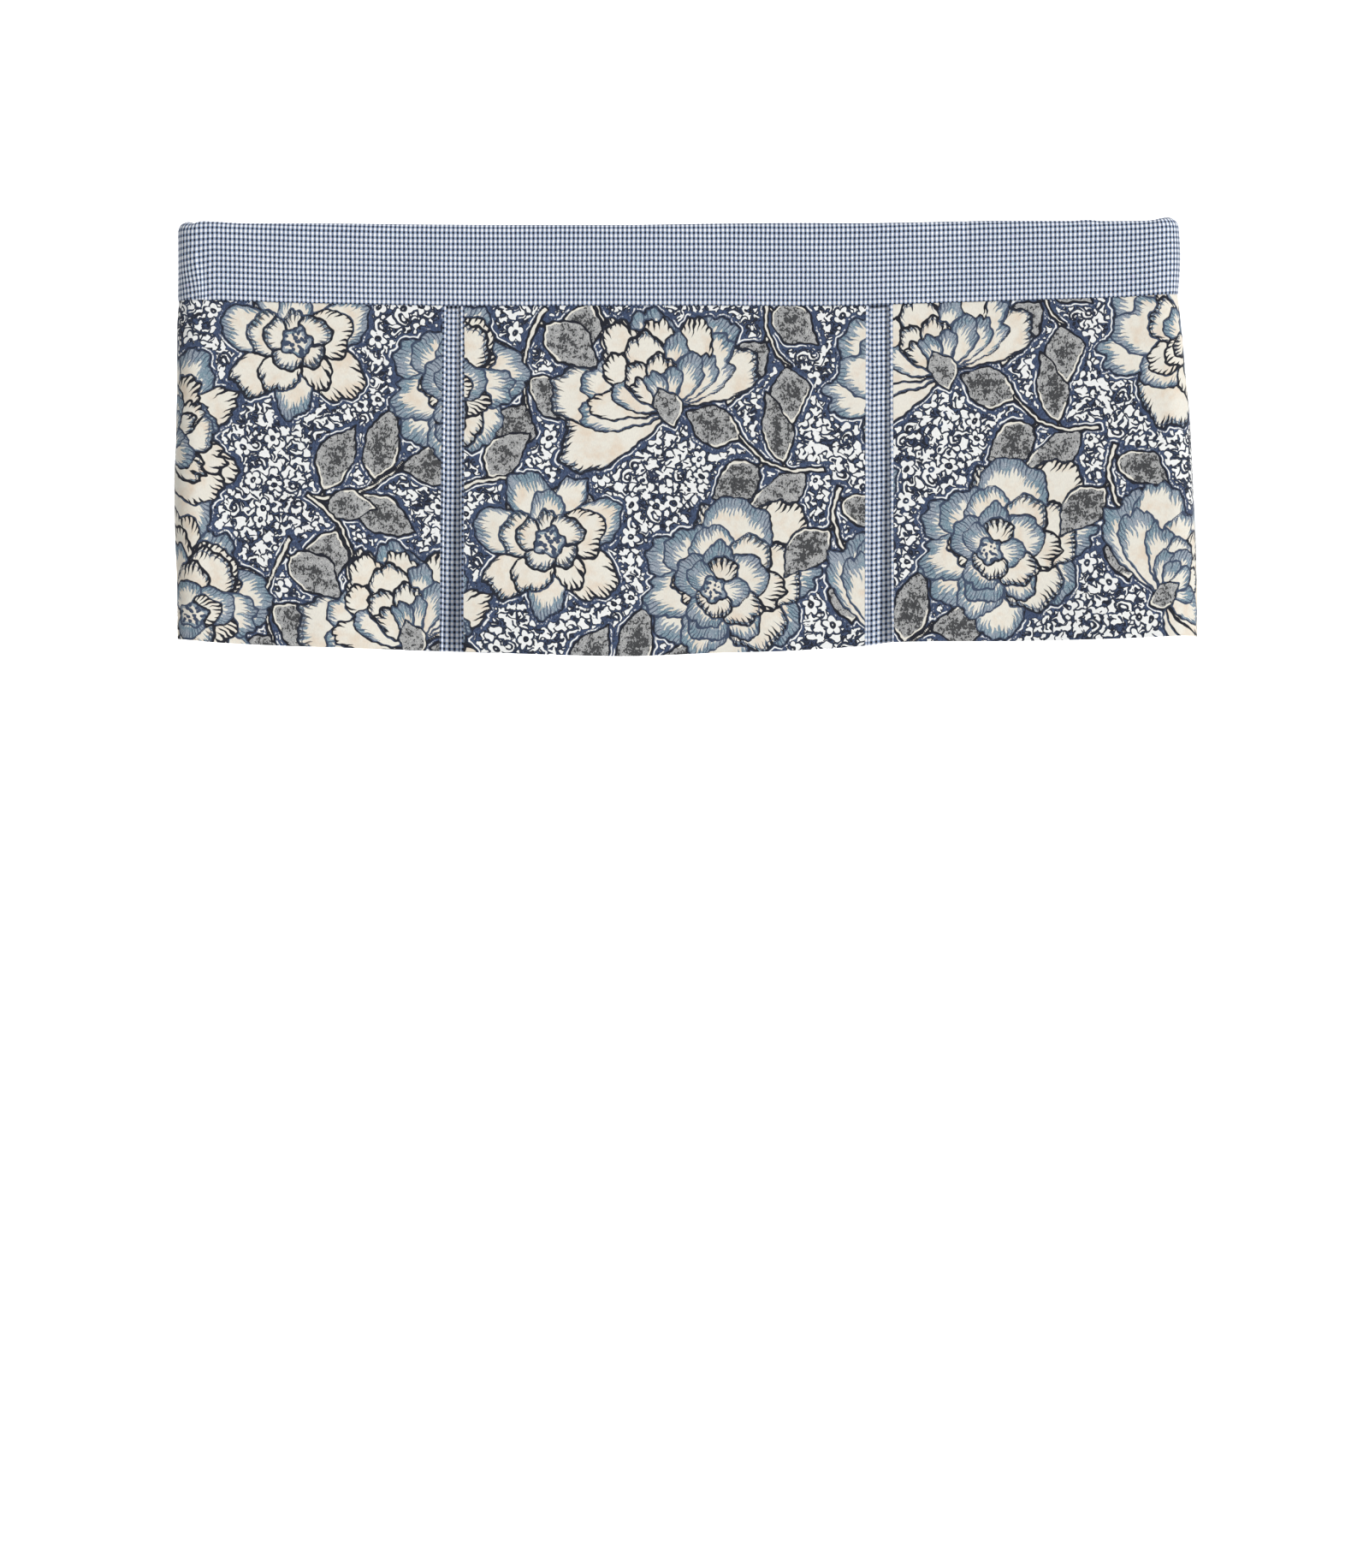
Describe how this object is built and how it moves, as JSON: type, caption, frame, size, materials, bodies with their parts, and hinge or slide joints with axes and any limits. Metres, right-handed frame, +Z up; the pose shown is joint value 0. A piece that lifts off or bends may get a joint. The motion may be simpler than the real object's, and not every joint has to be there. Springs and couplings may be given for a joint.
{
  "type": "window valance",
  "caption": "Flat-faced fabric valance with a checked rod-pocket header, flowered panels, checked box-pleat inserts and short returns.",
  "frame": {"origin": "middle of the header's top fold, half way through the depth of the rod pocket", "axes": "+X to the viewer's right along the header, +Y back towards the wall, +Z up"},
  "size_m": [1.2042, 0.0671, 0.511],
  "materials": {
    "check_cloth": "matt plain-woven cotton check in white and navy",
    "flowered_cloth": "matt printed cotton, cream and blue flowers on a dense navy and cream ground"
  },
  "bodies": {
    "root": {"header_band": "check_cloth", "panel_left": "flowered_cloth", "panel_centre": "flowered_cloth", "panel_right": "flowered_cloth", "pleat_insert_left": "check_cloth", "pleat_insert_right": "check_cloth"}
  },
  "joints": []
}
